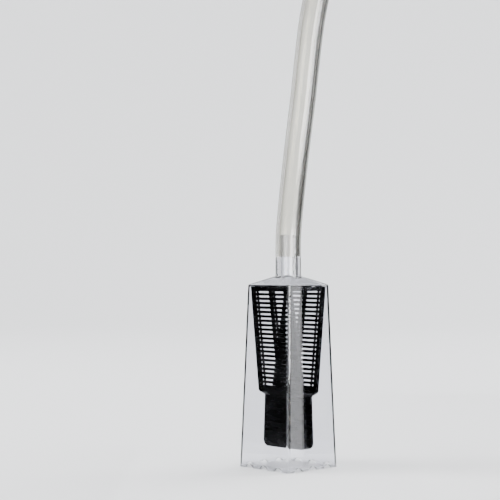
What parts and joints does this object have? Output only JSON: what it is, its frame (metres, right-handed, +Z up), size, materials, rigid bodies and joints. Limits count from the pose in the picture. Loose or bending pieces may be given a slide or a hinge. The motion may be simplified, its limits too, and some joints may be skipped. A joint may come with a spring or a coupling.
{
  "type": "gravel vacuum siphon",
  "caption": "Clear square gravel bell with a low shoulder, black slotted wedge insert with a paddle, flexible clear hose put away in a coil, and a screw clamp for a bucket's rim.",
  "frame": {"origin": "on the bell's axis, in the plane of its mouth, which the part stands on", "axes": "+Z up along the bell's axis to its neck; +X along the insert's wide face, towards the stored coil"},
  "size_m": [0.395, 0.18, 0.363],
  "materials": {
    "clear_moulding": "clear polished moulding",
    "black_moulding": "gloss black moulding",
    "hose_vinyl": "clear flexible vinyl",
    "clamp_moulding": "satin black moulding"
  },
  "bodies": {
    "siphon": {"bell": "clear_moulding", "hose": "hose_vinyl", "hose_coil": "hose_vinyl", "hose_drain_end": "hose_vinyl", "clamp_body": "clamp_moulding"},
    "insert": {"strainer_insert": "black_moulding"},
    "pad": {"clamp_pad": "clamp_moulding"},
    "screw": {"clamp_screw": "clamp_moulding"}
  },
  "joints": [
    {"name": "insert_slide", "type": "slide", "parent": "siphon", "child": "insert", "axis": [0, 0, -1], "range_m": [0, 0.113]},
    {"name": "pad_travel", "type": "slide", "parent": "siphon", "child": "pad", "axis": [0, -1, 0], "range_m": [0, 0.012]},
    {"name": "screw_turn", "type": "hinge", "parent": "pad", "child": "screw", "pos_m": [0.301, 0.055, 0.011], "axis": [0, -1, 0], "range_deg": [0, 1440]}
  ],
  "couplings": [
    {"joint": "screw_turn", "follows": "pad_travel", "rad_per_m": 2094.4}
  ]
}
